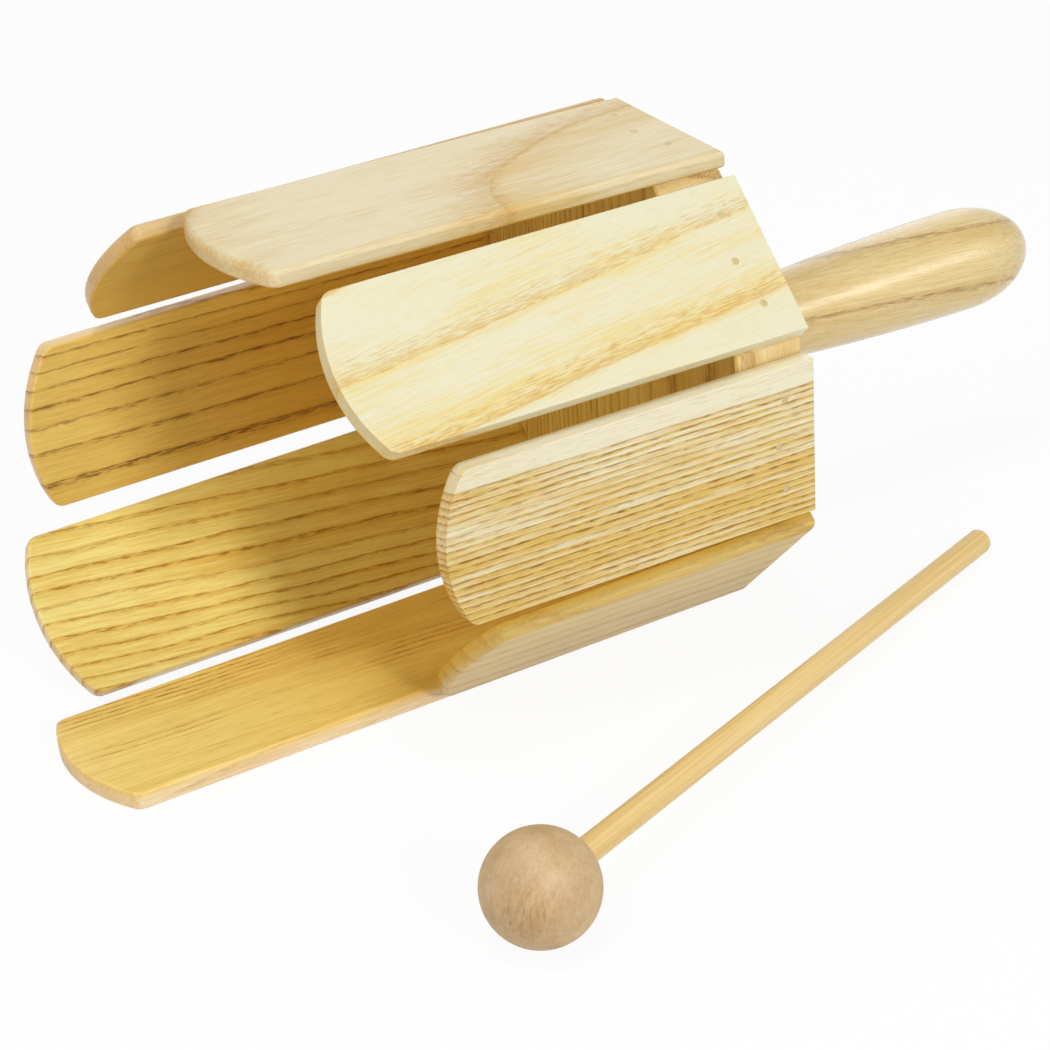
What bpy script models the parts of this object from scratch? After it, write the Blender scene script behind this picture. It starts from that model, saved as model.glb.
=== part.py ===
"""A stirring drum: eight ash tongues round an octagonal block with a turned handle, and its loose ball beater.

Metres, +Z up. +X runs along the drum towards the handle. The origin is on the face that the drum rests on,
the outer face of the longest tongue, straight below the front face of the block.
"""

import math

import bmesh
import bpy
from mathutils import Euler, Matrix, Vector

MM = 0.001

# Tongues, longest first: length from the block's back face to the crown of the tip, and how much narrower each is
# than its flat of the block. They are sawn and nailed on by hand, so each one's middle lies a little to one side of
# its flat, at the block and at the tip, and some tips are out of square by a length for each unit across.
TONGUE_LENGTHS = (176.7 * MM, 163.9 * MM, 153.2 * MM, 138 * MM, 126.5 * MM, 118.5 * MM, 103 * MM, 94 * MM)
TONGUE_MARGINS = (3.9 * MM, 2.7 * MM, 2.7 * MM, 1.2 * MM, 0.2 * MM, 5.7 * MM, 6.7 * MM, 2.7 * MM)
TONGUE_BACK_SHIFTS = (-1.0 * MM, -0.6 * MM, 0.0 * MM, -0.3 * MM, 2.9 * MM, 2.3 * MM, 0.3 * MM, -4.2 * MM)
TONGUE_TIP_SHIFTS = (-4.0 * MM, -2.6 * MM, -1.3 * MM, -0.3 * MM, -0.7 * MM, 1.5 * MM, -0.1 * MM, -0.5 * MM)
TONGUE_TIP_LEANS = (0.045, 0.03, -0.05, 0.0, 0.0, 0.0, 0.0, 0.0)
TONGUE_NARROWING = 0.006  # width lost for each unit of length, from the block to the tip
TONGUE_THICKNESS = 4.7 * MM
TIP_CROWN = 6.0 * MM
TIP_CORNER_RADIUS = 3.0 * MM
OUTER_ROUND = 1.8 * MM
INNER_ROUND = 0.8 * MM

# Octagonal block that carries the tongues and the handle
BLOCK_ACROSS_FLATS = 114.6 * MM
BLOCK_THICKNESS = 19.0 * MM
BLOCK_CHAMFER = 0.5 * MM
GLUE_GAP = 0.3 * MM

# Turned handle with its tenon
HANDLE_LENGTH = 113.0 * MM
HANDLE_NECK_RADIUS = 8.8 * MM
HANDLE_GRIP_RADIUS = 13.5 * MM
HANDLE_DROP = 0.9 * MM  # of the hole in the block below the drum's axis
HANDLE_DOME_LENGTH = 21.5 * MM
TENON_RADIUS = 6.0 * MM
TENON_LENGTH = 15.0 * MM
TENON_CHAMFER = 0.8 * MM

# Brads, three to a tongue, set in a shallow zigzag
NAIL_LENGTH = 18.0 * MM
NAIL_SHANK_RADIUS = 0.65 * MM
NAIL_HEAD_RADIUS = 0.95 * MM
NAIL_HEAD_HEIGHT = 0.8 * MM
NAIL_POINT_LENGTH = 1.6 * MM
NAIL_SINK = 0.25 * MM
NAIL_SPACING = 12.0 * MM
NAIL_STAGGER = 2.0 * MM
NAIL_CLEARANCE = 0.12 * MM

# Loose beater, lying on the table beside the drum
BALL_RADIUS = 13.7 * MM
BALL_SOCKET_DEPTH = 17.0 * MM
STICK_RADIUS = 3.3 * MM
STICK_REACH = 203.0 * MM  # from the ball's centre to the stick's far end
STICK_CHAMFER = 0.6 * MM
BALL_PLACE = (-100.7 * MM, -125.2 * MM)
BEATER_HEADING = math.radians(23.7)  # from +X towards +Y

TURNED_SIDES = 40
NAIL_SIDES = 10
ARCH_STEPS = 7
CORNER_STEPS = 4

TONGUE_COUNT = len(TONGUE_LENGTHS)
BLOCK_APOTHEM = BLOCK_ACROSS_FLATS / 2
TONGUE_INNER_FACE = BLOCK_APOTHEM + GLUE_GAP
TONGUE_OUTER_FACE = TONGUE_INNER_FACE + TONGUE_THICKNESS
FLAT_WIDTH = 2 * TONGUE_INNER_FACE * math.tan(math.pi / TONGUE_COUNT)
DRUM_AXIS_HEIGHT = TONGUE_OUTER_FACE

WOODS = {
    "tongue_wood": ((0.76, 0.55, 0.27), 0.42),
    "block_wood": ((0.74, 0.50, 0.21), 0.5),
    "handle_wood": ((0.66, 0.43, 0.20), 0.32),
    "ball_wood": ((0.68, 0.45, 0.27), 0.6),
    "stick_wood": ((0.73, 0.47, 0.17), 0.5),
}


def clear_scene():
    for obj in list(bpy.data.objects):
        bpy.data.objects.remove(obj, do_unlink=True)


def finish(name, colour, roughness, metallic=0.0):
    """A Principled material."""
    material = bpy.data.materials.new(name)
    material.use_nodes = True
    shader = material.node_tree.nodes["Principled BSDF"]
    shader.inputs["Base Color"].default_value = (*colour, 1.0)
    shader.inputs["Roughness"].default_value = roughness
    shader.inputs["Metallic"].default_value = metallic
    material.diffuse_color = (*colour, 1.0)
    return material


def add_object(name, bm, material, parent, smooth=True):
    """Turns a bmesh into a named object under a parent."""
    mesh = bpy.data.meshes.new(name)
    bm.to_mesh(mesh)
    bm.free()
    if smooth:
        mesh.shade_smooth()
        mesh.set_sharp_from_angle(angle=math.radians(35))
    obj = bpy.data.objects.new(name, mesh)
    if material:
        mesh.materials.append(material)
    bpy.context.scene.collection.objects.link(obj)
    obj.parent = parent
    return obj


def add_empty(name, location, rotation=(0.0, 0.0, 0.0)):
    empty = bpy.data.objects.new(name, None)
    empty.location = location
    empty.rotation_euler = Euler(rotation)
    bpy.context.scene.collection.objects.link(empty)
    return empty


def make_cutter(obj):
    obj.hide_render = True
    obj.display_type = "WIRE"
    return obj


def cut(obj, cutter):
    modifier = obj.modifiers.new("cut_" + cutter.name, "BOOLEAN")
    modifier.operation = "DIFFERENCE"
    modifier.solver = "EXACT"
    modifier.object = cutter


def turned(profile, sides):
    """A solid of revolution about +X from (along, radius) points that start and end on the axis."""
    bm = bmesh.new()
    points = [bm.verts.new((along, 0.0, radius)) for along, radius in profile]
    edges = [bm.edges.new(pair) for pair in zip(points, points[1:])]
    bmesh.ops.spin(
        bm, geom=points + edges, cent=(0, 0, 0), axis=(1, 0, 0), angle=math.tau, steps=sides, use_merge=True
    )
    bmesh.ops.remove_doubles(bm, verts=bm.verts[:], dist=1e-6)
    bmesh.ops.recalc_face_normals(bm, faces=bm.faces[:])
    return bm


def arc(centre, radii, start, stop, steps):
    """Points on a stretch of an ellipse, both ends included, with angles in radians from the first axis."""
    angles = [start + (stop - start) * step / steps for step in range(steps + 1)]
    return [(centre[0] + radii[0] * math.cos(angle), centre[1] + radii[1] * math.sin(angle)) for angle in angles]


def half_outline(length, width):
    """(forward, across) points of half a tongue: along its arched tip, round the corner and to its square back."""
    half = width / 2
    arch_radius = (half**2 + TIP_CROWN**2) / (2 * TIP_CROWN)
    arch_centre = length - arch_radius
    across = half - TIP_CORNER_RADIUS
    forward = arch_centre + math.sqrt((arch_radius - TIP_CORNER_RADIUS) ** 2 - across**2)
    meeting = math.atan2(across, forward - arch_centre)
    arch = arc((arch_centre, 0.0), (arch_radius, arch_radius), 0.0, meeting, ARCH_STEPS)
    tip_radii = (TIP_CORNER_RADIUS, TIP_CORNER_RADIUS)
    tip_corner = arc((forward, across), tip_radii, meeting, math.pi / 2, CORNER_STEPS)
    return arch + tip_corner[1:] + [(0.0, half)]


def tongue_outline(length, width, back_shift, tip_shift, tip_lean):
    """The flat outline of a tongue, seen from inside the drum, narrowed and set to one side as it was nailed on."""
    half = half_outline(length, width)
    whole = half + [(forward, -across) for forward, across in reversed(half[1:])]
    outline = []
    for forward, across in whole:
        narrowed = across * (1 - TONGUE_NARROWING * forward / width)
        shift = back_shift + (tip_shift - back_shift) * forward / length
        slanted = forward * (1 + tip_lean * across / length)
        outline.append(Vector((BLOCK_THICKNESS - slanted, narrowed + shift, -TONGUE_OUTER_FACE)))
    return outline


def round_rim(bm, height, radius, segments):
    """Rounds the edges of the flat face at this height."""
    rim = [edge for edge in bm.edges if all(abs(vert.co.z - height) < 1e-6 for vert in edge.verts)]
    bmesh.ops.bevel(
        bm, geom=rim, offset=radius, segments=segments, profile=0.5, affect="EDGES", clamp_overlap=True, material=-1
    )


def tongue_body(outline):
    """A tongue below the drum's axis, its outer face down."""
    bm = bmesh.new()
    face = bm.faces.new([bm.verts.new(point) for point in outline])
    extruded = bmesh.ops.extrude_face_region(bm, geom=[face])
    inner = [item for item in extruded["geom"] if isinstance(item, bmesh.types.BMVert)]
    bmesh.ops.translate(bm, verts=inner, vec=(0, 0, TONGUE_THICKNESS))
    bmesh.ops.recalc_face_normals(bm, faces=bm.faces[:])
    round_rim(bm, -TONGUE_OUTER_FACE, OUTER_ROUND, 3)
    round_rim(bm, -TONGUE_INNER_FACE, INNER_ROUND, 2)
    return bm


def nail_profile(clearance, top):
    """Along +X from the head's flat top to the point, grown by a clearance for the hole that takes the nail."""
    head = NAIL_HEAD_RADIUS + clearance
    shank = NAIL_SHANK_RADIUS + clearance
    neck = NAIL_HEAD_HEIGHT + clearance
    point = NAIL_LENGTH + clearance
    return [(top, 0.0), (top, head), (neck, head), (neck, shank), (point - NAIL_POINT_LENGTH, shank), (point, 0.0)]


def nail_bodies(places, clearance=0.0, top=0.0):
    """Nails standing under the axis, heads down, at the given (along, across) places on the outer face."""
    bm = bmesh.new()
    single = bpy.data.meshes.new("one_nail")
    for along, across in places:
        one = turned(nail_profile(clearance, top), NAIL_SIDES)
        head_place = Matrix.Translation((along, across, NAIL_SINK - TONGUE_OUTER_FACE))
        upright = head_place @ Matrix.Rotation(-math.pi / 2, 4, "Y")
        bmesh.ops.transform(one, matrix=upright, verts=one.verts[:])
        one.to_mesh(single)
        one.free()
        bm.from_mesh(single)
    bpy.data.meshes.remove(single)
    return bm


def nail_places(shift):
    """The zigzag row of nails over the middle of the block's thickness, about the middle of a tongue."""
    middle = BLOCK_THICKNESS / 2
    return {
        "left": (middle + NAIL_STAGGER / 2, shift - NAIL_SPACING),
        "middle": (middle - NAIL_STAGGER / 2, shift),
        "right": (middle + NAIL_STAGGER / 2, shift + NAIL_SPACING),
    }


def tenon_profile(clearance):
    """The tenon, or with a clearance the socket that takes it, running from inside the block to its back face."""
    radius = TENON_RADIUS + clearance
    bottom = BLOCK_THICKNESS - TENON_LENGTH - clearance
    return [(bottom, 0.0), (bottom, radius - TENON_CHAMFER), (bottom + TENON_CHAMFER, radius)]


def handle_profile():
    """Tenon, neck, swelling grip and domed end."""
    shoulder = BLOCK_THICKNESS + GLUE_GAP
    grip_end = BLOCK_THICKNESS + HANDLE_LENGTH - HANDLE_DOME_LENGTH
    profile = tenon_profile(0.0) + [(shoulder, TENON_RADIUS), (shoulder, HANDLE_NECK_RADIUS)]
    swell_steps = 14
    for step in range(1, swell_steps + 1):
        share = step / swell_steps
        swell = math.sin(share * math.pi / 2)
        radius = HANDLE_NECK_RADIUS + (HANDLE_GRIP_RADIUS - HANDLE_NECK_RADIUS) * swell
        profile.append((shoulder + (grip_end - shoulder) * share, radius))
    dome = arc((grip_end, 0.0), (HANDLE_DOME_LENGTH, HANDLE_GRIP_RADIUS), math.pi / 2, 0.0, 9)
    return profile + dome[1:-1] + [(grip_end + HANDLE_DOME_LENGTH, 0.0)]


def block_body():
    """An octagonal prism with a flat towards each tongue."""
    bm = bmesh.new()
    corner_radius = BLOCK_APOTHEM / math.cos(math.pi / TONGUE_COUNT)
    bmesh.ops.create_circle(bm, cap_ends=True, segments=TONGUE_COUNT, radius=corner_radius)
    turn = Matrix.Rotation(math.pi / 2, 4, "Y") @ Matrix.Rotation(math.pi / TONGUE_COUNT, 4, "Z")
    bmesh.ops.transform(bm, matrix=turn, verts=bm.verts[:])
    extruded = bmesh.ops.extrude_face_region(bm, geom=bm.faces[:])
    back = [item for item in extruded["geom"] if isinstance(item, bmesh.types.BMVert)]
    bmesh.ops.translate(bm, verts=back, vec=(BLOCK_THICKNESS, 0, 0))
    bmesh.ops.recalc_face_normals(bm, faces=bm.faces[:])
    rims = [edge for edge in bm.edges if abs(edge.verts[0].co.x - edge.verts[1].co.x) < 1e-6]
    bmesh.ops.bevel(
        bm, geom=rims, offset=BLOCK_CHAMFER, segments=1, profile=0.5, affect="EDGES", clamp_overlap=True, material=-1
    )
    return bm


def ball_profile():
    """A ball about the origin with a blind hole in its +X side for the stick."""
    hole = STICK_RADIUS + GLUE_GAP
    mouth = math.asin(hole / BALL_RADIUS)
    mouth_along = BALL_RADIUS * math.cos(mouth)
    bottom = mouth_along - BALL_SOCKET_DEPTH
    sphere = arc((0.0, 0.0), (BALL_RADIUS, BALL_RADIUS), mouth, math.pi, 24)
    return [(bottom, 0.0), (bottom, hole)] + sphere[:-1] + [(-BALL_RADIUS, 0.0)]


def stick_profile():
    """The stick from the bottom of the ball's hole to its sawn end, with both rims eased."""
    hole = STICK_RADIUS + GLUE_GAP
    start = math.sqrt(BALL_RADIUS**2 - hole**2) - BALL_SOCKET_DEPTH + GLUE_GAP
    eased = STICK_RADIUS - STICK_CHAMFER
    start_rim = [(start, 0.0), (start, eased), (start + STICK_CHAMFER, STICK_RADIUS)]
    return start_rim + [(STICK_REACH - STICK_CHAMFER, STICK_RADIUS), (STICK_REACH, eased), (STICK_REACH, 0.0)]


def build_drum(woods, steel):
    drum = add_empty("drum", (0, 0, DRUM_AXIS_HEIGHT))
    block = add_object("end_block", block_body(), woods["block_wood"], drum, smooth=False)
    socket = tenon_profile(GLUE_GAP)
    mouth = BLOCK_THICKNESS + GLUE_GAP
    socket += [(mouth, TENON_RADIUS + GLUE_GAP), (mouth, 0.0)]
    socket_cutter = make_cutter(add_object("tenon_socket", turned(socket, TURNED_SIDES), None, drum))
    handle = add_object("handle", turned(handle_profile(), TURNED_SIDES), woods["handle_wood"], drum)
    for seated in (socket_cutter, handle):
        seated.location = (0, 0, -HANDLE_DROP)
    cut(block, socket_cutter)
    hole_top = -NAIL_SINK - NAIL_CLEARANCE
    tongues = zip(TONGUE_LENGTHS, TONGUE_MARGINS, TONGUE_BACK_SHIFTS, TONGUE_TIP_SHIFTS, TONGUE_TIP_LEANS)
    for index, (length, margin, back_shift, tip_shift, tip_lean) in enumerate(tongues):
        number = index + 1
        turn = Euler((math.tau * index / TONGUE_COUNT, 0, 0))
        outline = tongue_outline(length, FLAT_WIDTH - margin, back_shift, tip_shift, tip_lean)
        tongue = add_object(f"tongue_{number}", tongue_body(outline), woods["tongue_wood"], drum)
        places = nail_places(back_shift)
        hole_bodies = nail_bodies(places.values(), NAIL_CLEARANCE, hole_top)
        holes = make_cutter(add_object(f"nail_holes_{number}", hole_bodies, None, drum))
        tongue.rotation_euler = turn
        holes.rotation_euler = turn
        cut(tongue, holes)
        cut(block, holes)
        for side, place in places.items():
            nail = add_object(f"nail_{number}_{side}", nail_bodies([place]), steel, drum)
            nail.rotation_euler = turn


def build_beater(woods):
    """Ball and stick on one axis that dips until the rim of the stick's far end lies on the table."""
    lowest_rim = STICK_REACH - STICK_CHAMFER
    dip = math.asin(BALL_RADIUS / math.hypot(lowest_rim, STICK_RADIUS)) - math.atan2(STICK_RADIUS, lowest_rim)
    beater = add_empty("beater", (*BALL_PLACE, BALL_RADIUS), (0.0, dip, BEATER_HEADING))
    add_object("beater_ball", turned(ball_profile(), TURNED_SIDES), woods["ball_wood"], beater)
    add_object("beater_stick", turned(stick_profile(), TURNED_SIDES // 2), woods["stick_wood"], beater)


def main():
    clear_scene()
    woods = {name: finish(name, colour, roughness) for name, (colour, roughness) in WOODS.items()}
    steel = finish("nail_steel", (0.36, 0.30, 0.24), 0.45, metallic=1.0)
    build_drum(woods, steel)
    build_beater(woods)


main()
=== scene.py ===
import math

import bmesh
import bpy
from mathutils import Matrix, Vector


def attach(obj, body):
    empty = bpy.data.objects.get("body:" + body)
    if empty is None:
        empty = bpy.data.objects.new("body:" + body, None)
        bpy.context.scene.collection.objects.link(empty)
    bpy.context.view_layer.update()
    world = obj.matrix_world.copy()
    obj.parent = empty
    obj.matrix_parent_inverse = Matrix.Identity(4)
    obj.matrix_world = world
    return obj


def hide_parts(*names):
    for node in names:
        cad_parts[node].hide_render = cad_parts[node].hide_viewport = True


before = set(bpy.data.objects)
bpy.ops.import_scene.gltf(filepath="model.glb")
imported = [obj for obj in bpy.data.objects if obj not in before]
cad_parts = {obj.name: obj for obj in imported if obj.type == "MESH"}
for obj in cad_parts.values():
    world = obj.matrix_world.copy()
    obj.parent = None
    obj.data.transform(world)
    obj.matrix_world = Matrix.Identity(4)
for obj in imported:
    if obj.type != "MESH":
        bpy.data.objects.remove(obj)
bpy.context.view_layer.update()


# End block
# An octagon sawn from a thick ash board, its grain upright, and drilled for the handle's tenon. Its eight
# flats carry the tongues, so only its front, its back and narrow strips between the tongues show. Faces
# inside the drum carry painted shade, a deeper and warmer yellow for the dim, warm light in there, painted
# lighter towards the open end.
MM = 0.001
AXIS_HEIGHT = 62.3 * MM
BLOCK_THICKNESS = 19.0 * MM
# Painted shade inside the drum: a deep warm tint by the block, turning over a reach into a lighter tint
# towards the open end as painted light; the block's front takes the lighter tint all over.
INSIDE_SHADE_TINT = (1.0, 0.83, 0.26, 1.0)
INSIDE_LIT_TINT = (1.0, 0.94, 0.46, 1.0)
LIT_TINT_START = 85.0
LIT_TINT_REACH = 55.0
LIT_TINT_ALL_OVER = 300.0
BLOCK_SHADE_DEPTH = 1.0
BAND_REACH = 25.0
SWAY_CELLS = (0.016, 0.05, 0.05)
RIPPLE_CELLS = (0.22, 0.9, 0.9)
PORE_CELLS = (0.22, 2.4, 2.4)
PATCH_CELLS = (0.022, 0.09, 0.09)
FIBRE_CELLS = (0.06, 1.5, 1.5)
BROAD_CELLS = (0.018, 0.12, 0.12)
FLECK_CELLS = (0.22, 2.6, 2.6)


def as_seen(red, green, blue):
    """The linear colour of a tint given as it looks, from 0 to 255."""
    linear = []
    for share in (red / 255, green / 255, blue / 255):
        linear.append(share / 12.92 if share <= 0.04045 else ((share + 0.055) / 1.055) ** 2.4)
    return (*linear, 1.0)


def add_node(tree, kind, inputs=(), **settings):
    """A node with its settings, and its inputs as values or as sockets to link."""
    made = tree.nodes.new(kind)
    for name, value in settings.items():
        setattr(made, name, value)
    for key, value in dict(inputs).items():
        if isinstance(value, bpy.types.NodeSocket):
            tree.links.new(value, made.inputs[key])
        else:
            made.inputs[key].default_value = value
    return made


def maths(tree, operation, *values, clamp=False):
    node = add_node(tree, "ShaderNodeMath", enumerate(values), operation=operation, use_clamp=clamp)
    return node.outputs[0]


def blended(tree, share, first, second, blend_type="MIX"):
    inputs = {0: share, 6: first, 7: second}
    return add_node(tree, "ShaderNodeMix", inputs, data_type="RGBA", blend_type=blend_type).outputs[2]


def stretched_noise(tree, place, cells, detail=2.0, roughness=0.5):
    """Noise with so many cells per millimetre along each axis."""
    scaled = add_node(tree, "ShaderNodeVectorMath", {0: place, 1: cells}, operation="MULTIPLY").outputs[0]
    inputs = {"Vector": scaled, "Scale": 1.0, "Detail": detail, "Roughness": roughness}
    return add_node(tree, "ShaderNodeTexNoise", inputs).outputs[0]


def centred(tree, noise, reach):
    """A noise as a swing of this reach about nought."""
    return maths(tree, "MULTIPLY", maths(tree, "SUBTRACT", noise, 0.5), reach)


def new_group(name, inputs, outputs):
    """An empty shader group with its sockets, and its two end nodes."""
    tree = bpy.data.node_groups.new(name, "ShaderNodeTree")
    kinds = {float: "NodeSocketFloat", tuple: "NodeSocketColor", Vector: "NodeSocketVector"}
    for label, value in inputs.items():
        socket = tree.interface.new_socket(label, in_out="INPUT", socket_type=kinds[type(value)])
        socket.default_value = value
    for label, value in outputs.items():
        tree.interface.new_socket(label, in_out="OUTPUT", socket_type=kinds[type(value)])
    return tree, tree.nodes.new("NodeGroupInput").outputs, tree.nodes.new("NodeGroupOutput")


def ash_group():
    """Ash in millimetres, grain along X: rings across Y, each with its line of open pores, and fibre."""
    white = (1.0, 1.0, 1.0, 1.0)
    inputs = {"Place": Vector((0, 0, 0)), "Pale": white, "Deep": white, "Line": white}
    inputs |= {"Tone": 0.5, "Lines": 1.0, "Ring Start": 0.0, "Ring Rate": 0.2, "Ring Crowding": 0.0}
    inputs |= {"Line Share": 0.2, "Halo Share": 0.6, "Late Share": 0.12}
    inputs |= {"Pith Distance": 1000.0, "Bow": 0.0, "Patchiness": 0.0, "Wander": 1.0}
    inputs |= {"Inside": 0.0, "Inside Tint": white}
    tree, given, out = new_group("ash", inputs, {"Color": white, "Roughness": 0.5, "Height": 0.0})
    place = given["Place"]
    axes = add_node(tree, "ShaderNodeSeparateXYZ", {0: place}).outputs
    swing = centred(tree, stretched_noise(tree, place, SWAY_CELLS), 5.0)
    sway = maths(tree, "MULTIPLY", swing, given["Wander"])
    ripple = centred(tree, stretched_noise(tree, place, RIPPLE_CELLS, 3.0, 0.6), 0.55)
    across = maths(tree, "ADD", axes[1], maths(tree, "ADD", sway, ripple))
    reach = maths(tree, "SUBTRACT", given["Pith Distance"], across)
    along = maths(tree, "MULTIPLY", axes[0], given["Bow"])
    squares = maths(tree, "ADD", maths(tree, "MULTIPLY", reach, reach), maths(tree, "MULTIPLY", along, along))
    depth = maths(tree, "SUBTRACT", given["Pith Distance"], maths(tree, "SQRT", squares))
    crowded = maths(tree, "MULTIPLY", maths(tree, "MULTIPLY", depth, depth), given["Ring Crowding"])
    even = maths(tree, "MULTIPLY_ADD", depth, given["Ring Rate"], given["Ring Start"])
    ring = maths(tree, "ADD", even, crowded)
    phase = maths(tree, "FRACT", ring)
    ring_number = {"W": maths(tree, "FLOOR", ring)}
    chance = add_node(tree, "ShaderNodeTexWhiteNoise", ring_number, noise_dimensions="1D").outputs["Value"]
    ring_strength = maths(tree, "MULTIPLY_ADD", chance, 0.55, 0.45)
    fading = maths(tree, "SUBTRACT", 1.0, maths(tree, "DIVIDE", phase, given["Line Share"]), clamp=True)
    onset = maths(tree, "MULTIPLY_ADD", phase, 18.0, -17.0, clamp=True)
    line_core = maths(tree, "MAXIMUM", fading, onset)
    halo = maths(tree, "SUBTRACT", 1.0, maths(tree, "DIVIDE", phase, given["Halo Share"]), clamp=True)
    late = maths(tree, "SUBTRACT", phase, maths(tree, "SUBTRACT", 1.0, given["Late Share"]), clamp=True)
    late = maths(tree, "DIVIDE", late, given["Late Share"])
    pores = stretched_noise(tree, place, PORE_CELLS, 3.0, 0.65)
    broken = maths(tree, "MULTIPLY_ADD", line_core, 0.95, centred(tree, pores, 4.0))
    dashes = maths(tree, "MULTIPLY_ADD", broken, 1.8, -0.75, clamp=True)
    dashes = maths(tree, "MULTIPLY", dashes, maths(tree, "MULTIPLY", line_core, 3.0, clamp=True))
    patches = stretched_noise(tree, place, PATCH_CELLS, 1.0)
    bare = maths(tree, "MULTIPLY_ADD", patches, -8.0, 5.1, clamp=True)
    kept = maths(tree, "SUBTRACT", 1.0, maths(tree, "MULTIPLY", bare, given["Patchiness"]))
    shown = maths(tree, "MULTIPLY", maths(tree, "MULTIPLY", ring_strength, kept), given["Lines"])
    lines = maths(tree, "MULTIPLY", dashes, shown, clamp=True)
    fibre = stretched_noise(tree, place, FIBRE_CELLS, 5.0, 0.7)
    broad = stretched_noise(tree, place, BROAD_CELLS, 3.0)
    shading = maths(tree, "ADD", centred(tree, fibre, 2.8), centred(tree, broad, 1.6))
    warmth = maths(tree, "MULTIPLY", maths(tree, "MULTIPLY", maths(tree, "MAXIMUM", halo, late), shown), 0.9)
    ring_tone = maths(tree, "ADD", centred(tree, chance, 0.4), given["Tone"])
    tone = maths(tree, "ADD", maths(tree, "ADD", ring_tone, warmth), shading, clamp=True)
    ground = blended(tree, tone, given["Pale"], given["Deep"])
    flecks = stretched_noise(tree, place, FLECK_CELLS, 2.0, 0.6)
    fleck_share = maths(tree, "MULTIPLY_ADD", flecks, 4.5, -2.4, clamp=True)
    fleck_strength = maths(tree, "MULTIPLY_ADD", halo, 0.2, 0.18)
    flecked = maths(tree, "MULTIPLY", fleck_share, fleck_strength)
    darkened = maths(tree, "MULTIPLY_ADD", lines, 0.9, flecked, clamp=True)
    colour = blended(tree, darkened, ground, given["Line"])
    colour = blended(tree, given["Inside"], colour, given["Inside Tint"], "MULTIPLY")
    tree.links.new(colour, out.inputs["Color"])
    roughness = maths(tree, "MULTIPLY_ADD", lines, 0.2, maths(tree, "MULTIPLY_ADD", fibre, 0.2, 0.28))
    tree.links.new(roughness, out.inputs["Roughness"])
    height = maths(tree, "SUBTRACT", maths(tree, "MULTIPLY", fibre, 0.4), lines)
    tree.links.new(height, out.inputs["Height"])
    return tree


def new_material(name):
    """An empty node material and its Principled shader."""
    material = bpy.data.materials.new(name)
    material.use_nodes = True
    return material, material.node_tree, material.node_tree.nodes["Principled BSDF"]


def grain_place(tree, from_object):
    """Object coordinates taken to millimetres along and across the grain by a matrix in millimetres."""
    inputs = {"Location": from_object.to_translation(), "Rotation": from_object.to_euler()}
    inputs["Scale"] = (1 / MM, 1 / MM, 1 / MM)
    inputs["Vector"] = tree.nodes.new("ShaderNodeTexCoord").outputs["Object"]
    return add_node(tree, "ShaderNodeMapping", inputs).outputs[0]


def band_ramp(tree, place, bands):
    """Tone and line strength from (place across, tone, lines) bands, read over a reach to either side."""
    across = add_node(tree, "ShaderNodeSeparateXYZ", {0: place}).outputs[1]
    share = maths(tree, "MULTIPLY_ADD", across, 0.5 / BAND_REACH, 0.5, clamp=True)
    node = add_node(tree, "ShaderNodeValToRGB", {0: share})
    stops = node.color_ramp.elements
    while len(stops) < len(bands):
        stops.new(1.0)
    for stop, (millimetres, tone, lines) in zip(stops, bands):
        stop.position = 0.5 * millimetres / BAND_REACH + 0.5
        stop.color = (tone, lines, 0.0, 1.0)
    return add_node(tree, "ShaderNodeSeparateColor", {0: node.outputs[0]}).outputs


def ash_material(name, from_object, colours, rings, bands, inside=None, coat=0.08, specular=0.3, relief=0.08):
    """Lacquered ash, with its grain laid by a matrix, three tints and the values of its rings."""
    material, tree, shader = new_material(name)
    place = grain_place(tree, from_object)
    tone, lines, _ = band_ramp(tree, place, bands)
    inputs = {"Place": place, "Tone": tone, "Lines": lines, **rings}
    if inside:
        # Painted shade: the inner face and the rims beside it take the deep warm tint, lighter towards the
        # tip.
        inner_face, shade_depth = inside
        along, _, height = add_node(tree, "ShaderNodeSeparateXYZ", {0: grain_place(tree, inner_face)}).outputs
        inputs["Inside"] = maths(tree, "MULTIPLY_ADD", height, 1 / shade_depth, 1.0, clamp=True)
        lit_share = maths(tree, "MULTIPLY_ADD", along, -1 / LIT_TINT_REACH, -LIT_TINT_START / LIT_TINT_REACH, clamp=True)
        inputs["Inside Tint"] = blended(tree, lit_share, INSIDE_SHADE_TINT, INSIDE_LIT_TINT)
    inputs |= {label: as_seen(*tint) for label, tint in zip(("Pale", "Deep", "Line"), colours)}
    grain = tree.nodes.new("ShaderNodeGroup")
    grain.node_tree = ASH
    for label, value in inputs.items():
        if isinstance(value, bpy.types.NodeSocket):
            tree.links.new(value, grain.inputs[label])
        else:
            grain.inputs[label].default_value = value
    tree.links.new(grain.outputs["Color"], shader.inputs["Base Color"])
    tree.links.new(grain.outputs["Roughness"], shader.inputs["Roughness"])
    bump_inputs = {"Strength": 0.5, "Distance": relief * MM, "Height": grain.outputs["Height"]}
    bump = add_node(tree, "ShaderNodeBump", bump_inputs)
    tree.links.new(bump.outputs[0], shader.inputs["Normal"])
    shader.inputs["Specular IOR Level"].default_value = specular
    shader.inputs["Coat Weight"].default_value = coat
    shader.inputs["Coat Roughness"].default_value = 0.22
    return material


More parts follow.
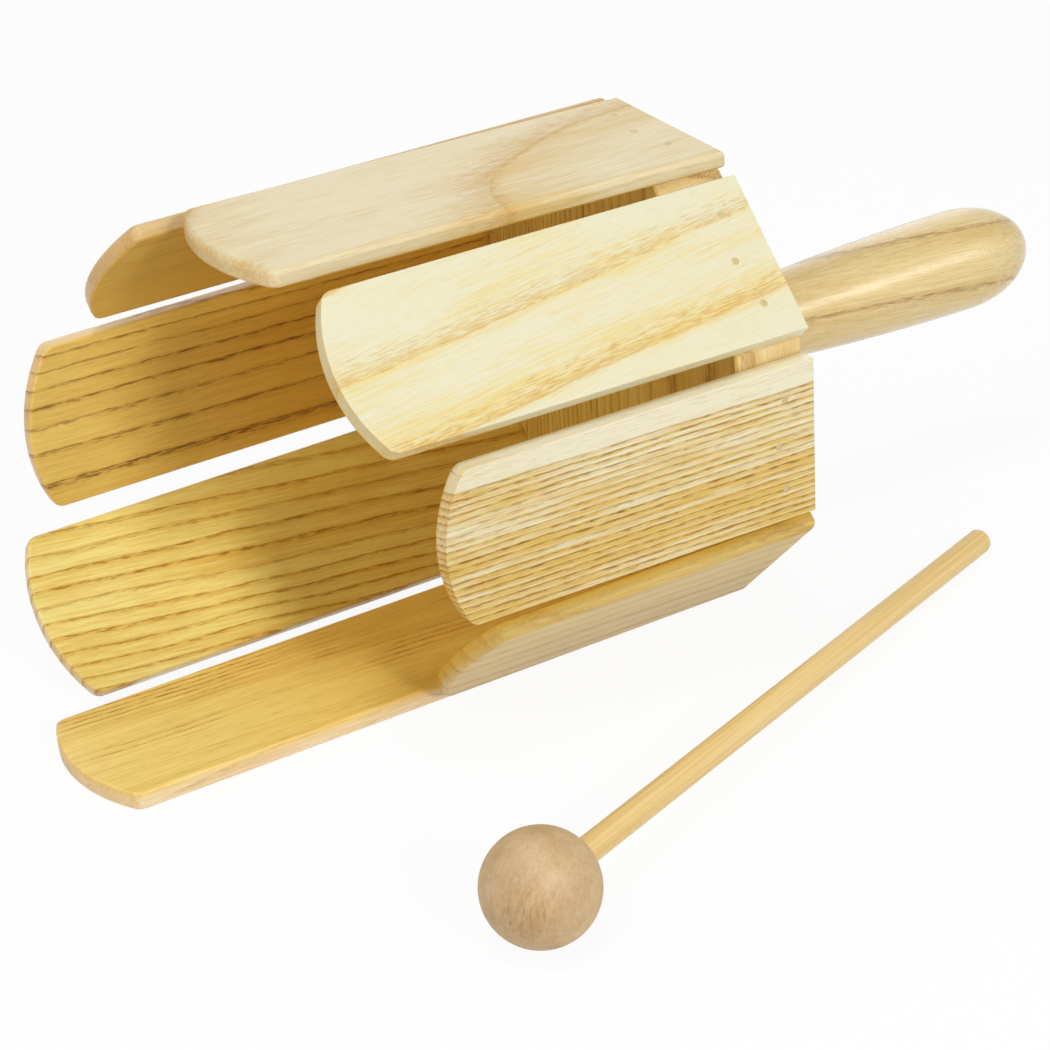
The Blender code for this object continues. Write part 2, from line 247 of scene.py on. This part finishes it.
ASH = ash_group()
block_upright = Matrix.Rotation(math.pi / 2, 4, "Y") @ Matrix.Rotation(math.radians(20), 4, "Z")
block_front = Matrix.Translation((-LIT_TINT_ALL_OVER, 0, 0)) @ Matrix.Rotation(math.pi / 2, 4, "Y")
block_rings = {"Ring Start": 0.2, "Ring Rate": 0.3, "Ring Crowding": 0.0042}
block_rings |= {"Line Share": 0.4, "Halo Share": 0.7, "Wander": 0.8}
block_ash = ash_material(
    "block_ash",
    block_upright,
    ((244, 222, 170), (232, 200, 132), (176, 126, 58)),
    block_rings,
    ((-25, 0.45, 0.9), (25, 0.45, 0.9)),
    inside=(block_front, BLOCK_SHADE_DEPTH),
)
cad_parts["end_block"].data.materials.clear()
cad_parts["end_block"].data.materials.append(block_ash)


# Handle
# One piece of ash turned on a lathe, slim at the block and swelling to a domed end. Its tenon is glued into
# the block, and the gloss lacquer leaves the fine rings of the turning showing.
HANDLE_LENGTH = 113.0 * MM
HANDLE_DROP = 0.9 * MM
NECK_RADIUS = 8.8 * MM
GRIP_RADIUS = 13.5 * MM
DOME_LENGTH = 21.5 * MM
TENON_RADIUS = 6.0 * MM
TENON_LENGTH = 15.0 * MM
TENON_CHAMFER = 0.8 * MM
SEAT_GAP = 0.3 * MM
SHARP_ANGLE = math.radians(40)
HANDLE_SIDES = 96
SWELL_STEPS = 36
DOME_STEPS = 20
HANDLE_GRAIN_SLOPE = 0.091
HANDLE_GRAIN_ROLL = math.radians(-65)
TURNING_CELLS = (1.7, 0.03, 0.03)
TURNING_RELIEF = 0.1 * MM
GLOSS = 0.55


def spun(profile, steps):
    """A turned solid about X from (along, radius) points that start and end on the axis."""
    bm = bmesh.new()
    points = [bm.verts.new((along, 0.0, radius)) for along, radius in profile]
    edges = [bm.edges.new(pair) for pair in zip(points, points[1:])]
    spin = {"cent": (0, 0, 0), "axis": (1, 0, 0), "angle": math.tau, "steps": steps, "use_merge": True}
    bmesh.ops.spin(bm, geom=points + edges, **spin)
    bmesh.ops.remove_doubles(bm, verts=bm.verts[:], dist=1e-6)
    bmesh.ops.recalc_face_normals(bm, faces=bm.faces[:])
    return bm


def add_piece(name, bm, placing, material, body, slot, *nodes):
    """A finished piece at its place, riding on its body and standing for its CAD nodes."""
    bmesh.ops.transform(bm, matrix=placing, verts=bm.verts[:])
    mesh = bpy.data.meshes.new(name)
    bm.to_mesh(mesh)
    bm.free()
    mesh.materials.append(material)
    mesh.shade_smooth()
    mesh.set_sharp_from_angle(angle=SHARP_ANGLE)
    piece = bpy.data.objects.new(name, mesh)
    bpy.context.scene.collection.objects.link(piece)
    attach(piece, body)
    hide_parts(*nodes)
    return piece


shoulder = BLOCK_THICKNESS + SEAT_GAP
grip_end = BLOCK_THICKNESS + HANDLE_LENGTH - DOME_LENGTH
tenon_end = BLOCK_THICKNESS - TENON_LENGTH
handle_profile = [(tenon_end, 0.0), (tenon_end, TENON_RADIUS - TENON_CHAMFER)]
handle_profile += [(tenon_end + TENON_CHAMFER, TENON_RADIUS), (shoulder, TENON_RADIUS)]
handle_profile.append((shoulder, NECK_RADIUS))
for step in range(1, SWELL_STEPS + 1):
    swell = math.sin(step / SWELL_STEPS * math.pi / 2)
    along = shoulder + (grip_end - shoulder) * step / SWELL_STEPS
    handle_profile.append((along, NECK_RADIUS + (GRIP_RADIUS - NECK_RADIUS) * swell))
for step in range(1, DOME_STEPS):
    angle = step / DOME_STEPS * math.pi / 2
    handle_profile.append((grip_end + DOME_LENGTH * math.sin(angle), GRIP_RADIUS * math.cos(angle)))
handle_profile.append((grip_end + DOME_LENGTH, 0.0))

to_drum_axis = Matrix.Translation((0, 0, -AXIS_HEIGHT / MM))
along_handle = Matrix.Rotation(HANDLE_GRAIN_SLOPE, 4, "Z") @ Matrix.Rotation(HANDLE_GRAIN_ROLL, 4, "X")
handle_ash = ash_material(
    "handle_ash",
    along_handle @ to_drum_axis,
    ((233, 210, 152), (215, 184, 114), (146, 94, 24)),
    {"Ring Start": 1.116, "Ring Rate": -0.0645, "Line Share": 0.08, "Halo Share": 0.4, "Wander": 0.3},
    ((-25, 0.4, 1.0), (25, 0.4, 1.0)),
    coat=0.35,
    specular=0.5,
    relief=0.05,
)
handle_tree = handle_ash.node_tree
handle_shader = handle_tree.nodes["Principled BSDF"]
handle_place = grain_place(handle_tree, Matrix.Identity(4))
turning = stretched_noise(handle_tree, handle_place, TURNING_CELLS, 2.0, 0.6)
wood_normal = handle_shader.inputs["Normal"].links[0].from_socket
ridge_inputs = {"Strength": 1.0, "Distance": TURNING_RELIEF, "Height": turning, "Normal": wood_normal}
ridges = add_node(handle_tree, "ShaderNodeBump", ridge_inputs)
handle_tree.links.new(ridges.outputs[0], handle_shader.inputs["Normal"])
wood_roughness = handle_shader.inputs["Roughness"].links[0].from_socket
glossy = maths(handle_tree, "MULTIPLY", wood_roughness, GLOSS)
handle_tree.links.new(glossy, handle_shader.inputs["Roughness"])
handle_shader.inputs["Coat Roughness"].default_value = 0.2
add_piece(
    "turned_handle",
    spun(handle_profile, HANDLE_SIDES),
    Matrix.Translation((0, 0, AXIS_HEIGHT - HANDLE_DROP)),
    handle_ash,
    "drum",
    "handle_wood",
    "handle",
)


# Tongues
# Eight flat ash boards of falling length, each sawn to an arched tip, its outer rims well rounded, its inner
# ones only eased, and drilled for three nails. They are glued to the block by hand, so few lie quite
# straight on their flats.
THICKNESS = 4.7 * MM
OUTER_FACE = AXIS_HEIGHT
NARROWING = 0.006
TIP_CROWN = 6.0 * MM
TIP_CORNER = 1.8 * MM
OUTER_ROUND = 1.8 * MM
INNER_ROUND = 0.8 * MM
TIP_STEPS = 24
CORNER_STEPS = 8
OUTER_STEPS = 6
INNER_STEPS = 4
END_GRAIN_TINT = (1.0, 0.88, 0.70, 1.0)
NAIL_SPACING = 12.0 * MM
NAIL_STAGGER = 2.0 * MM
NAIL_SINK = 0.02 * MM
HEAD_RADIUS = 0.95 * MM
HEAD_HEIGHT = 0.8 * MM
SHANK_RADIUS = 0.65 * MM
HOLE_CLEARANCE = 0.01 * MM
NAIL_SIDES = 20


def rounded(bm, chosen, radius, segments, affect):
    rounding = {"offset": radius, "segments": segments, "profile": 0.5, "affect": affect, "material": -1}
    bmesh.ops.bevel(bm, geom=chosen, clamp_overlap=True, **rounding)


def tongue_mesh(length, width, back_shift, tip_shift, tip_lean):
    """A tongue under the drum's axis, its tip spun as an arc, its back square and all its rims rounded."""
    half_tip = (width - NARROWING * length) / 2
    arch_radius = (half_tip**2 + TIP_CROWN**2) / (2 * TIP_CROWN)
    tip = BLOCK_THICKNESS - length
    bm = bmesh.new()
    first = bm.verts.new((tip + TIP_CROWN, half_tip, -OUTER_FACE))
    arch = {"cent": (tip + arch_radius, 0, -OUTER_FACE), "axis": (0, 0, 1), "steps": TIP_STEPS}
    spun_tip = bmesh.ops.spin(bm, geom=[first], angle=2 * math.asin(half_tip / arch_radius), **arch)
    last = spun_tip["geom_last"][0]
    out_of_square = Matrix(((1, -tip_lean, 0, 0), (0, 1, 0, 0), (0, 0, 1, 0), (0, 0, 0, 1)))
    bmesh.ops.transform(bm, matrix=out_of_square, verts=bm.verts[:])
    near_back = bm.verts.new((BLOCK_THICKNESS, -width / 2, -OUTER_FACE))
    far_back = bm.verts.new((BLOCK_THICKNESS, width / 2, -OUTER_FACE))
    for pair in ((last, near_back), (near_back, far_back), (far_back, first)):
        bm.edges.new(pair)
    bmesh.ops.edgeloop_fill(bm, edges=bm.edges[:])
    rounded(bm, [first, last], TIP_CORNER, CORNER_STEPS, "VERTICES")
    lean = (back_shift - tip_shift) / length
    start = back_shift - lean * BLOCK_THICKNESS
    skew = Matrix(((1, 0, 0, 0), (lean, 1, 0, start), (0, 0, 1, 0), (0, 0, 0, 1)))
    bmesh.ops.transform(bm, matrix=skew, verts=bm.verts[:])
    extruded = bmesh.ops.extrude_face_region(bm, geom=bm.faces[:])["geom"]
    inner = [item for item in extruded if isinstance(item, bmesh.types.BMVert)]
    bmesh.ops.translate(bm, verts=inner, vec=(0, 0, THICKNESS))
    bmesh.ops.recalc_face_normals(bm, faces=bm.faces[:])
    outer_rim = (-OUTER_FACE, OUTER_ROUND, OUTER_STEPS)
    inner_rim = (THICKNESS - OUTER_FACE, INNER_ROUND, INNER_STEPS)
    for height, radius, segments in (outer_rim, inner_rim):
        rim = [edge for edge in bm.edges if all(abs(vert.co.z - height) < 1e-6 for vert in edge.verts)]
        rounded(bm, rim, radius, segments, "EDGES")
    return bm


def nail_places(shift):
    middle = BLOCK_THICKNESS / 2
    outer = middle + NAIL_STAGGER / 2
    places = {"left": (outer, shift - NAIL_SPACING), "right": (outer, shift + NAIL_SPACING)}
    return places | {"middle": (middle - NAIL_STAGGER / 2, shift)}


def standing(place):
    """Sets a nail, or its hole, upright with its head at the outer face of a tongue under the axis."""
    return Matrix.Translation((*place, NAIL_SINK - OUTER_FACE)) @ Matrix.Rotation(-math.pi / 2, 4, "Y")


def drill(piece, placing, places):
    """Cuts the stepped nail holes through a tongue."""
    head = HEAD_RADIUS + HOLE_CLEARANCE
    neck = HEAD_HEIGHT + HOLE_CLEARANCE
    shank = SHANK_RADIUS + HOLE_CLEARANCE
    end = THICKNESS + HEAD_HEIGHT
    start = -2 * NAIL_SINK
    profile = [(start, 0.0), (start, head), (neck, head), (neck, shank), (end, shank), (end, 0.0)]
    holes = bmesh.new()
    one_hole = bpy.data.meshes.new("one_hole")
    for place in places:
        bm = spun(profile, NAIL_SIDES)
        bmesh.ops.transform(bm, matrix=placing @ standing(place), verts=bm.verts[:])
        bm.to_mesh(one_hole)
        bm.free()
        holes.from_mesh(one_hole)
    holes.to_mesh(one_hole)
    holes.free()
    cutter = bpy.data.objects.new("nail_drill", one_hole)
    bpy.context.scene.collection.objects.link(cutter)
    boolean = piece.modifiers.new("nail_holes", "BOOLEAN")
    boolean.operation = "DIFFERENCE"
    boolean.solver = "EXACT"
    boolean.object = cutter
    bpy.context.view_layer.update()
    drilled = bpy.data.meshes.new_from_object(piece.evaluated_get(bpy.context.evaluated_depsgraph_get()))
    piece.modifiers.remove(boolean)
    piece.data = drilled
    drilled.set_sharp_from_angle(angle=SHARP_ANGLE)
    bpy.data.objects.remove(cutter)
    bpy.data.meshes.remove(one_hole)


def on_face(turn, face, pivot=0.0):
    """From object space to a tongue's own frame, with its origin on a face at a distance from the back."""
    to_face = Matrix.Translation((pivot - BLOCK_THICKNESS / MM, 0, face))
    return to_face @ Matrix.Rotation(-turn, 4, "X") @ to_drum_axis


def tint_ends(material):
    """Warms the sawn ends, the faces that look along the drum's axis."""
    tree = material.node_tree
    base = tree.nodes["Principled BSDF"].inputs["Base Color"]
    normal = tree.nodes.new("ShaderNodeTexCoord").outputs["Normal"]
    facing_out = add_node(tree, "ShaderNodeSeparateXYZ", {0: normal}).outputs[0]
    end_grain = maths(tree, "MULTIPLY", facing_out, facing_out, clamp=True)
    warmed = blended(tree, end_grain, base.links[0].from_socket, END_GRAIN_TINT, "MULTIPLY")
    tree.links.new(warmed, base)


def along_rings(slope, roll):
    """Turns a tongue's frame along its rings, by their slope on the face and their lean through the wood."""
    return Matrix.Rotation(math.atan(slope), 4, "Z") @ Matrix.Rotation(math.radians(roll), 4, "X")


OUTSIDE = OUTER_FACE / MM
INSIDE = (OUTER_FACE - THICKNESS) / MM
EVEN_BANDS = ((-25, 0.35, 1.0), (25, 0.35, 1.0))
# Each tongue's length, width, shifts at the block and at the tip, and the lean of its tip. Then the face that
# its grain is set out on, and where, its slope and roll, and how deep the painted shade of its inside
# reaches. Then its tints, rings and bands.
TONGUES = (
    (
        (176.7, 43.8, -1.0, -4.0, 0.045),
        (INSIDE, 150, 0.03, 24, 2.5),
        ((250, 230, 190), (236, 203, 150), (160, 112, 56)),
        {"Ring Start": 0.2, "Ring Rate": 0.5, "Line Share": 0.4, "Patchiness": 1.0},
        ((-25, 0.4, 1.0), (25, 0.4, 1.0)),
    ),
    (
        (163.9, 45, -0.6, -2.6, 0.03),
        (INSIDE, 100, 0.09, 18, 1.0),
        ((246, 237, 206), (230, 201, 140), (174, 125, 56)),
        {
            "Ring Start": 2.82,
            "Ring Rate": -0.225,
            "Ring Crowding": 0.00155,
            "Line Share": 0.26,
            "Halo Share": 0.45,
        },
        EVEN_BANDS,
    ),
    (
        (153.2, 45, 0.0, -1.3, -0.05),
        (INSIDE, 110, 0.02, 15, 1.0),
        ((244, 217, 164), (228, 192, 132), (136, 92, 50)),
        {
            "Ring Start": 3.84,
            "Ring Rate": -0.1753,
            "Ring Crowding": -0.00252,
            "Line Share": 0.2,
            "Halo Share": 0.35,
            "Wander": 0.4,
        },
        EVEN_BANDS,
    ),
    (
        (138, 46.5, -0.3, -0.3, 0.0),
        (INSIDE, 110, 0.02, 20, 1.0),
        ((225, 195, 142), (210, 174, 114), (164, 117, 66)),
        {"Ring Start": 0.1, "Ring Rate": 0.11, "Line Share": 0.2, "Patchiness": 1.0},
        ((-25, 0.4, 0.4), (25, 0.4, 0.4)),
    ),
    (
        (126.5, 47.5, 2.9, -0.7, 0.0),
        (OUTSIDE, 0, 0.0, 0, 1.0),
        ((230, 215, 177), (216, 185, 114), (200, 154, 76)),
        {
            "Ring Start": 0.74,
            "Ring Rate": -0.02,
            "Line Share": 0.2,
            "Halo Share": 0.3,
            "Late Share": 0.35,
            "Pith Distance": 25.0,
            "Bow": 0.63,
        },
        ((-25, 0.22, 0.95), (25, 0.22, 0.95)),
    ),
    (
        (118.5, 42, 2.3, 1.5, 0.0),
        (OUTSIDE, 0, 0.115, 10, 1.0),
        ((230, 225, 193), (232, 208, 128), (212, 166, 80)),
        {"Ring Start": 0.524, "Ring Rate": -0.0476, "Line Share": 0.3, "Halo Share": 0.5, "Wander": 0.5},
        ((-25, 0.1, 0.9), (25, 0.1, 0.9)),
    ),
    (
        (103, 41, 0.3, -0.1, 0.0),
        (OUTSIDE, 50, -0.01, 12, 1.0),
        ((240, 233, 202), (224, 188, 96), (146, 94, 26)),
        {"Ring Start": 0.35, "Ring Rate": 0.58, "Line Share": 0.5, "Halo Share": 0.7, "Wander": 0.3},
        ((-25, 0, 0), (-14.8, 0, 0), (-13.8, 0.3, 1), (-5, 0.5, 0.9), (0, 0.55, 0.95), (25, 0.65, 1)),
    ),
    (
        (94, 45, -4.2, -0.5, 0.0),
        (OUTSIDE, 50, -0.05, 15, 3.0),
        ((224, 194, 112), (210, 176, 90), (156, 110, 44)),
        {"Ring Start": 0.3, "Ring Rate": 0.15, "Line Share": 0.4, "Wander": 0.8},
        ((-25, 0.4, 0.5), (25, 0.4, 0.5)),
    ),
)
nails = []
for number, (sizes, lie, tints, rings, bands) in enumerate(TONGUES, 1):
    *lengths, tip_lean = sizes
    length, width, back_shift, tip_shift = [size * MM for size in lengths]
    turn = math.tau * (number - 1) / len(TONGUES)
    placing = Matrix.Translation((0, 0, AXIS_HEIGHT)) @ Matrix.Rotation(turn, 4, "X")
    face, pivot, slope, roll, shade_depth = lie
    grain = along_rings(slope, roll) @ on_face(turn, face, pivot)
    node = f"tongue_{number}"
    painted_shade = (on_face(turn, INSIDE), shade_depth)
    material = ash_material(f"{node}_ash", grain, tints, rings, bands, painted_shade)
    tint_ends(material)
    board = tongue_mesh(length, width, back_shift, tip_shift, tip_lean)
    tongue = add_piece(f"ash_{node}", board, placing, material, "drum", "tongue_wood", node)
    places = nail_places(back_shift)
    drill(tongue, placing, places.values())
    normals = tongue.modifiers.new("flat_faces", "WEIGHTED_NORMAL")
    normals.keep_sharp = True
    nails += [(f"nail_{number}_{side}", placing @ standing(place)) for side, place in places.items()]


# Nails
# Steel brads, three to a tongue, driven in a shallow zigzag through the tongue into the block until almost
# flush. Lacquer and handling have dulled their heads to a tan close to the wood's own.
NAIL_LENGTH = 18.0 * MM
POINT_LENGTH = 1.6 * MM
HEAD_DOME = 0.04 * MM


def nail_material():
    material, tree, shader = new_material("dull_steel")
    place = grain_place(tree, Matrix.Identity(4))
    tarnish = stretched_noise(tree, place, (0.9, 0.9, 0.9), 4.0, 0.6)
    colour = blended(tree, tarnish, as_seen(232, 214, 166), as_seen(182, 154, 102))
    tree.links.new(colour, shader.inputs["Base Color"])
    tree.links.new(maths(tree, "MULTIPLY_ADD", tarnish, 0.3, 0.3), shader.inputs["Roughness"])
    bump = add_node(tree, "ShaderNodeBump", {"Strength": 0.4, "Distance": 0.05 * MM, "Height": tarnish})
    tree.links.new(bump.outputs[0], shader.inputs["Normal"])
    shader.inputs["Metallic"].default_value = 0.2
    return material


dull_steel = nail_material()
rim = HEAD_RADIUS - HEAD_DOME
shank_end = NAIL_LENGTH - POINT_LENGTH
nail_profile = [(0.0, 0.0), (0.3 * HEAD_DOME, 0.6 * rim), (HEAD_DOME, rim), (2 * HEAD_DOME, HEAD_RADIUS)]
nail_profile += [(HEAD_HEIGHT, HEAD_RADIUS), (HEAD_HEIGHT, SHANK_RADIUS)]
nail_profile += [(shank_end, SHANK_RADIUS), (NAIL_LENGTH, 0.0)]
for node, placing in nails:
    nail = spun(nail_profile, NAIL_SIDES)
    add_piece(node.replace("nail", "brad"), nail, placing, dull_steel, "drum", "nail_steel", node)


# Beater ball
# A turned beech ball, sanded and left bare, with a blind hole for its stick. Its end grain shows as a patch
# of darker flecks, and it lies on the table beside the drum.
BALL_RADIUS = 13.7 * MM
SOCKET_DEPTH = 17.0 * MM
STICK_RADIUS = 3.3 * MM
STICK_REACH = 203.0 * MM
STICK_EASING = 0.6 * MM
BALL_PLACE = (-100.7 * MM, -125.2 * MM, BALL_RADIUS)
HEADING = math.radians(23.7)
BALL_SIDES = 96
BALL_STEPS = 56
STAIN_PLACE = (-1.6, -4.8, 12.7)
STAIN_REACH = 9.0
lowest_rim = STICK_REACH - STICK_EASING
dip = math.asin(BALL_RADIUS / math.hypot(lowest_rim, STICK_RADIUS)) - math.atan2(STICK_RADIUS, lowest_rim)
lying = Matrix.Rotation(HEADING, 4, "Z") @ Matrix.Rotation(dip, 4, "Y")
beater_placing = Matrix.Translation(BALL_PLACE) @ lying
to_beater = lying.inverted() @ Matrix.Translation([-value / MM for value in BALL_PLACE])


def beech_material():
    material, tree, shader = new_material("bare_beech")
    place = grain_place(tree, Matrix.Rotation(math.radians(80), 4, "Y") @ to_beater)
    clouds = stretched_noise(tree, place, (0.12, 0.2, 0.2), 4.0, 0.65)
    fibre = stretched_noise(tree, place, (0.6, 1.3, 1.3), 5.0, 0.7)
    swing = maths(tree, "ADD", centred(tree, clouds, 2.6), centred(tree, fibre, 1.0))
    tone = maths(tree, "ADD", swing, 0.4, clamp=True)
    ground = blended(tree, tone, as_seen(214, 185, 141), as_seen(192, 157, 110))
    to_stain = {0: place, 1: STAIN_PLACE}
    away = add_node(tree, "ShaderNodeVectorMath", to_stain, operation="DISTANCE").outputs["Value"]
    near = maths(tree, "MULTIPLY_ADD", away, -1 / STAIN_REACH, 1.0, clamp=True)
    flecks = stretched_noise(tree, place, (0.35, 1.6, 1.6), 4.0, 0.65)
    fleck_share = maths(tree, "MULTIPLY_ADD", flecks, 4.0, -1.9, clamp=True)
    gathered = maths(tree, "MULTIPLY", fleck_share, maths(tree, "MULTIPLY_ADD", near, 0.7, 0.22))
    stained = blended(tree, maths(tree, "MULTIPLY", near, clouds), ground, as_seen(176, 132, 70))
    colour = blended(tree, gathered, stained, as_seen(150, 110, 60))
    tree.links.new(colour, shader.inputs["Base Color"])
    tree.links.new(maths(tree, "MULTIPLY_ADD", fibre, 0.2, 0.5), shader.inputs["Roughness"])
    bump = add_node(tree, "ShaderNodeBump", {"Strength": 0.4, "Distance": 0.08 * MM, "Height": fibre})
    tree.links.new(bump.outputs[0], shader.inputs["Normal"])
    return material


hole_radius = STICK_RADIUS + SEAT_GAP
mouth = math.asin(hole_radius / BALL_RADIUS)
hole_bottom = BALL_RADIUS * math.cos(mouth) - SOCKET_DEPTH
ball_profile = [(hole_bottom, 0.0), (hole_bottom, hole_radius)]
for step in range(BALL_STEPS):
    angle = mouth + (math.pi - mouth) * step / BALL_STEPS
    ball_profile.append((BALL_RADIUS * math.cos(angle), BALL_RADIUS * math.sin(angle)))
ball_profile.append((-BALL_RADIUS, 0.0))
ball = spun(ball_profile, BALL_SIDES)
add_piece("beech_ball", ball, beater_placing, beech_material(), "beater", "ball_wood", "beater_ball")


# Beater stick
# A straight-grained round stick, sawn square at its free end with the rim eased, and glued into the ball. It
# is split along the grain like bamboo, so its fibres run as long streaks.
STICK_SIDES = 48
STICK_STEPS = 40
RIM_STEPS = 5


def stick_material():
    material, tree, shader = new_material("straight_grain")
    place = grain_place(tree, to_beater)
    streaks = stretched_noise(tree, place, (0.016, 1.1, 1.1), 3.0, 0.55)
    fibre = stretched_noise(tree, place, (0.03, 3.6, 3.6), 3.0, 0.6)
    tone = maths(tree, "MULTIPLY_ADD", streaks, 2.4, -0.7, clamp=True)
    ground = blended(tree, tone, as_seen(240, 214, 150), as_seen(228, 190, 114))
    strands = maths(tree, "MULTIPLY_ADD", fibre, 4.0, -2.2, clamp=True)
    colour = blended(tree, maths(tree, "MULTIPLY", strands, 0.3), ground, as_seen(190, 138, 66))
    tree.links.new(colour, shader.inputs["Base Color"])
    tree.links.new(maths(tree, "MULTIPLY_ADD", fibre, 0.2, 0.36), shader.inputs["Roughness"])
    bump = add_node(tree, "ShaderNodeBump", {"Strength": 0.5, "Distance": 0.1 * MM, "Height": fibre})
    tree.links.new(bump.outputs[0], shader.inputs["Normal"])
    return material


stick_start = hole_bottom + SEAT_GAP
straight_start = stick_start + STICK_EASING
eased = STICK_RADIUS - STICK_EASING
stick_profile = [(stick_start, 0.0), (stick_start, eased), (straight_start, STICK_RADIUS)]
for step in range(1, STICK_STEPS + 1):
    along = straight_start + (lowest_rim - straight_start) * step / STICK_STEPS
    stick_profile.append((along, STICK_RADIUS))
for step in range(1, RIM_STEPS + 1):
    angle = step / RIM_STEPS * math.pi / 2
    along = lowest_rim + STICK_EASING * math.sin(angle)
    stick_profile.append((along, eased + STICK_EASING * math.cos(angle)))
stick_profile.append((STICK_REACH, 0.0))
stick = spun(stick_profile, STICK_SIDES)
add_piece("straight_stick", stick, beater_placing, stick_material(), "beater", "stick_wood", "beater_stick")


# Table and light
# A plain white table under studio lamps: small ones in front and above, which set the shadows inside the
# drum, broad ones to the left and behind, and one for the handle's gloss. The camera has the photograph's
# viewing angle.
FLOOR_SIZE = 4.0
FLOOR_CLEARANCE = 0.2 * MM
FLOOR_GLOW = 0.92
SCATTERED_TINT = (0.85, 0.85, 0.85, 1.0)
WHITE = (1.0, 1.0, 1.0, 1.0)
AMBIENT = 0.25
LAMP_DISTANCE = 1.4
LAMP_AIM = Vector((0, -30 * MM, 50 * MM))


def seen_directly(tree):
    """One for rays from the camera, or sent on by gloss or glass, and nought for scattered light."""
    rays = tree.nodes.new("ShaderNodeLightPath").outputs
    mirrored = maths(tree, "ADD", rays["Is Glossy Ray"], rays["Is Transmission Ray"], clamp=True)
    return maths(tree, "ADD", rays["Is Camera Ray"], mirrored, clamp=True)


def floor_material():
    material, tree, shader = new_material("white_table")
    shader.inputs["Roughness"].default_value = 0.9
    shader.inputs["Specular IOR Level"].default_value = 0.0
    seen = seen_directly(tree)
    tint = blended(tree, seen, SCATTERED_TINT, WHITE)
    tree.links.new(tint, shader.inputs["Base Color"])
    glow = add_node(tree, "ShaderNodeEmission", {"Color": WHITE, "Strength": 1.0})
    glow_share = maths(tree, "MULTIPLY", seen, FLOOR_GLOW)
    mixed = add_node(tree, "ShaderNodeMixShader", {0: glow_share, 1: shader.outputs[0], 2: glow.outputs[0]})
    tree.links.new(mixed.outputs[0], tree.nodes["Material Output"].inputs["Surface"])
    return material


floor_bm = bmesh.new()
bmesh.ops.create_grid(floor_bm, x_segments=1, y_segments=1, size=FLOOR_SIZE)
bmesh.ops.translate(floor_bm, verts=floor_bm.verts[:], vec=(0, 0, -FLOOR_CLEARANCE))
floor_mesh = bpy.data.meshes.new("table_top")
floor_bm.to_mesh(floor_mesh)
floor_bm.free()
floor_mesh.materials.append(floor_material())
table_top = bpy.data.objects.new("table_top", floor_mesh)
bpy.context.scene.collection.objects.link(table_top)

world = bpy.data.worlds.new("studio")
bpy.context.scene.world = world
world.use_nodes = True
sky = world.node_tree
backdrop = sky.nodes["Background"].inputs
backdrop["Color"].default_value = WHITE
sky.links.new(maths(sky, "MULTIPLY_ADD", seen_directly(sky), 1 - AMBIENT, AMBIENT), backdrop["Strength"])


def softbox(name, direction, size, power):
    """A square lamp that faces the middle of the object."""
    lamp = bpy.data.lights.new(name, "AREA")
    lamp.shape = "SQUARE"
    lamp.size = size
    lamp.energy = power
    holder = bpy.data.objects.new(name, lamp)
    toward = Vector(direction).normalized()
    holder.matrix_world = toward.to_track_quat("Z", "Y").to_matrix().to_4x4()
    holder.location = LAMP_AIM + toward * LAMP_DISTANCE
    bpy.context.scene.collection.objects.link(holder)


softbox("front_softbox", (-0.03, -0.9, 0.43), 0.2, 6.1)
softbox("top_softbox", (-0.2, -0.14, 1.0), 0.2, 4.5)
softbox("side_softbox", (-0.8, -0.12, 0.72), 1.0, 5.7)
softbox("back_softbox", (0.35, 0.85, 0.4), 1.2, 3.0)
softbox("small_softbox", (0.49, -0.745, 0.455), 0.4, 2.9)

AZIMUTH = math.radians(-29.8341)
ELEVATION = math.radians(28.0457)
ROLL = math.radians(-3.5113)
DISTANCE = 841.194 * MM
AIM_SIDE = 37.3835 * MM
AIM_UP = 45.4827 * MM
LENS = 112.836
SENSOR = 36.0
level = math.cos(ELEVATION)
toward_camera = Vector((math.sin(AZIMUTH) * level, -math.cos(AZIMUTH) * level, math.sin(ELEVATION)))
level_right = Vector((math.cos(AZIMUTH), math.sin(AZIMUTH), 0))
level_up = toward_camera.cross(level_right)
camera_right = math.cos(ROLL) * level_right + math.sin(ROLL) * level_up
camera_up = math.cos(ROLL) * level_up - math.sin(ROLL) * level_right
camera = bpy.data.objects.new("camera", bpy.data.cameras.new("camera"))
camera.data.lens = LENS
camera.data.sensor_width = SENSOR
turned_to = Matrix((camera_right, camera_up, toward_camera)).transposed().to_4x4()
aim = Vector((BLOCK_THICKNESS, 0, AXIS_HEIGHT)) - AIM_SIDE * camera_right - AIM_UP * camera_up
camera.matrix_world = Matrix.Translation(aim + DISTANCE * toward_camera) @ turned_to
bpy.context.scene.collection.objects.link(camera)
bpy.context.scene.camera = camera
bpy.context.scene.view_settings.view_transform = "Standard"

bpy.context.view_layer.update()
